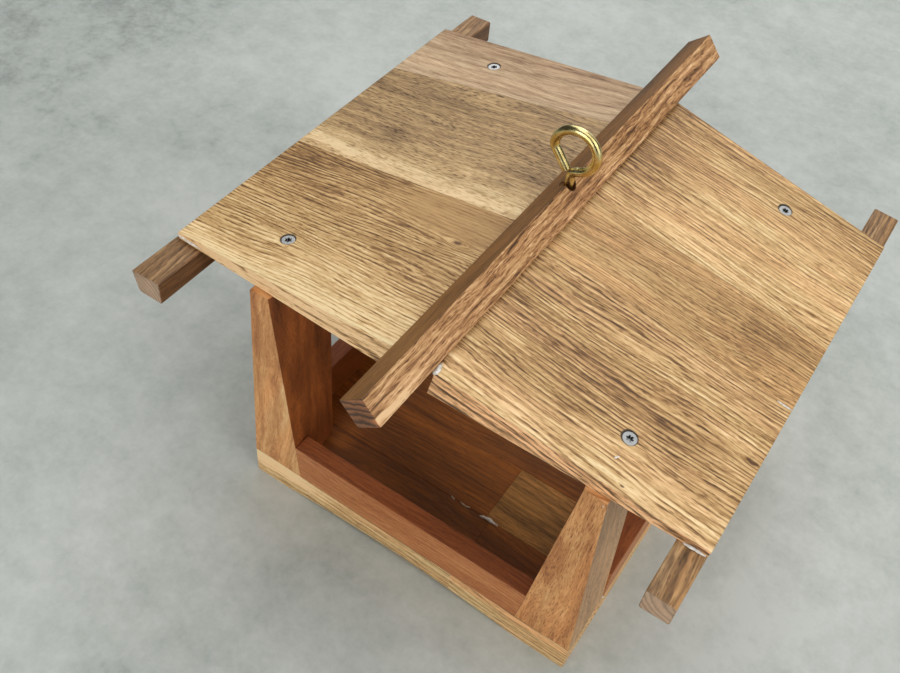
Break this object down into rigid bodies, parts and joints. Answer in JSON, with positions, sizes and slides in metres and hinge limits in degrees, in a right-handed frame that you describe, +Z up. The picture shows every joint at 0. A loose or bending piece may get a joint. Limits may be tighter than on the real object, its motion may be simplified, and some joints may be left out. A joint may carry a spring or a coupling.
{
  "type": "hanging bird feeder",
  "caption": "Small open-sided wooden bird feeder: a rimmed stave tray, tapered corner posts, a low wedge-board roof and a ridge bar with a brass screw eye to hang it by.",
  "frame": {"origin": "on the floor's underside, below the ridge bar and midway between the front and rear of the tray", "axes": "+Z up, +Y along the ridge bar towards the rear, +X across the ridge towards the right roof panel"},
  "size_m": [0.3372, 0.3865, 0.2587],
  "materials": {
    "roof_wood": "oiled, satin",
    "floor_wood": "oiled, matte",
    "post_wood": "oiled, satin",
    "rim_wood": "oiled, satin",
    "dark_wood": "oiled, satin",
    "ridge_wood": "oiled, satin",
    "brass": "plated, glossy",
    "zinc_steel": "zinc plated"
  },
  "bodies": {
    "root": {"base_front_left": "floor_wood", "base_front_right": "floor_wood", "base_second_left": "floor_wood", "base_second_right": "floor_wood", "base_third": "floor_wood", "base_fourth": "floor_wood", "base_fifth": "floor_wood", "base_rear": "floor_wood", "post_front_left": "post_wood", "post_front_right": "post_wood", "post_rear_left": "post_wood", "post_rear_right": "post_wood", "rim_front": "rim_wood", "rim_rear": "rim_wood", "rim_left": "rim_wood", "rim_right": "rim_wood", "roof_left_front": "roof_wood", "roof_left_middle": "roof_wood", "roof_left_rear": "roof_wood", "roof_right_front": "roof_wood", "roof_right_middle": "roof_wood", "roof_right_rear": "roof_wood", "eave_bar_left": "dark_wood", "eave_bar_right": "dark_wood", "ridge_bar": "ridge_wood", "screw_eye": "brass", "roof_screws": "zinc_steel", "base_screws": "zinc_steel"}
  },
  "joints": []
}
